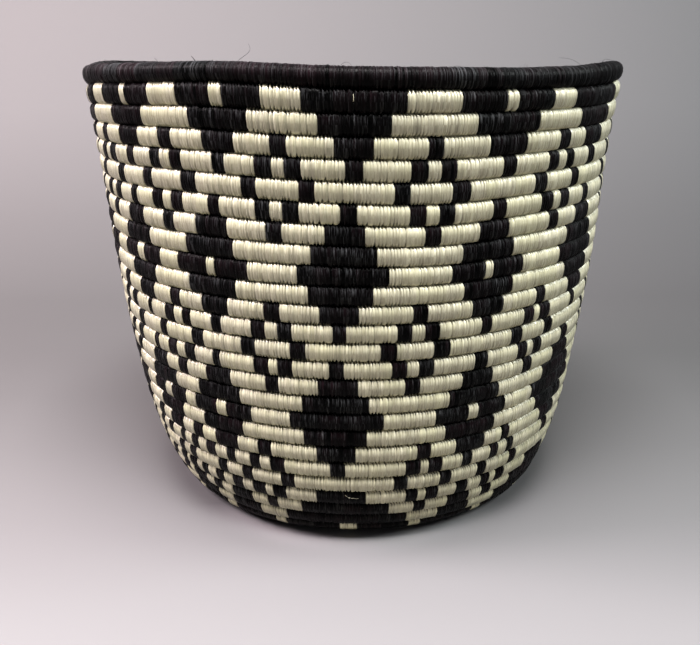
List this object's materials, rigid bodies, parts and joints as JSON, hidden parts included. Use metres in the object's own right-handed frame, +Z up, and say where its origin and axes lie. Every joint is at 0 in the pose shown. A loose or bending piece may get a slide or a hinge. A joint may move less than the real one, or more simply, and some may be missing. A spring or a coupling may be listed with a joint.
{
  "type": "coiled sisal basket",
  "caption": "Round open basket with a flat base and a thick rolled rim, coiled from a wrapped grass core with a traditional diamond pattern, for holding a plant pot or dry goods.",
  "frame": {"origin": "centre of the basket's axis on the surface that it stands on, under the middle of the base", "axes": "+Z up along the basket's axis towards the open mouth, -Y towards the front shown in the picture, +X to the right of that view; the ends of the rows meet at the back, at +Y"},
  "size_m": [0.3303, 0.3329, 0.2743],
  "materials": {
    "natural_sisal": "natural cream sisal yarn, tightly wrapped, soft silky sheen",
    "black_sisal": "black dyed sisal yarn, tightly wrapped, soft sheen",
    "dry_grass": "bundle of dry grass stems, matt straw colour"
  },
  "bodies": {
    "root": {"rim_wrap": "black_sisal", "wall_row_01_wrap": "black_sisal", "wall_row_02_wrap": "natural_sisal", "wall_row_03_wrap": "natural_sisal", "wall_row_04_wrap": "natural_sisal", "wall_row_05_wrap": "natural_sisal", "wall_row_06_wrap": "natural_sisal", "wall_row_07_wrap": "natural_sisal", "wall_row_08_wrap": "natural_sisal", "wall_row_09_wrap": "black_sisal", "wall_row_10_wrap": "natural_sisal", "wall_row_11_wrap": "natural_sisal", "wall_row_12_wrap": "natural_sisal", "wall_row_13_wrap": "natural_sisal", "wall_row_14_wrap": "natural_sisal", "wall_row_15_wrap": "natural_sisal", "wall_row_16_wrap": "natural_sisal", "wall_row_17_wrap": "black_sisal", "wall_row_18_wrap": "natural_sisal", "wall_row_19_wrap": "natural_sisal", "wall_row_20_wrap": "natural_sisal", "wall_row_21_wrap": "natural_sisal", "wall_row_22_wrap": "natural_sisal", "wall_row_23_wrap": "natural_sisal", "wall_row_24_wrap": "natural_sisal", "wall_row_25_wrap": "black_sisal", "base_wrap": "black_sisal", "upper_grass_core": "dry_grass", "lower_grass_core": "dry_grass", "base_grass_core": "dry_grass"}
  },
  "joints": []
}
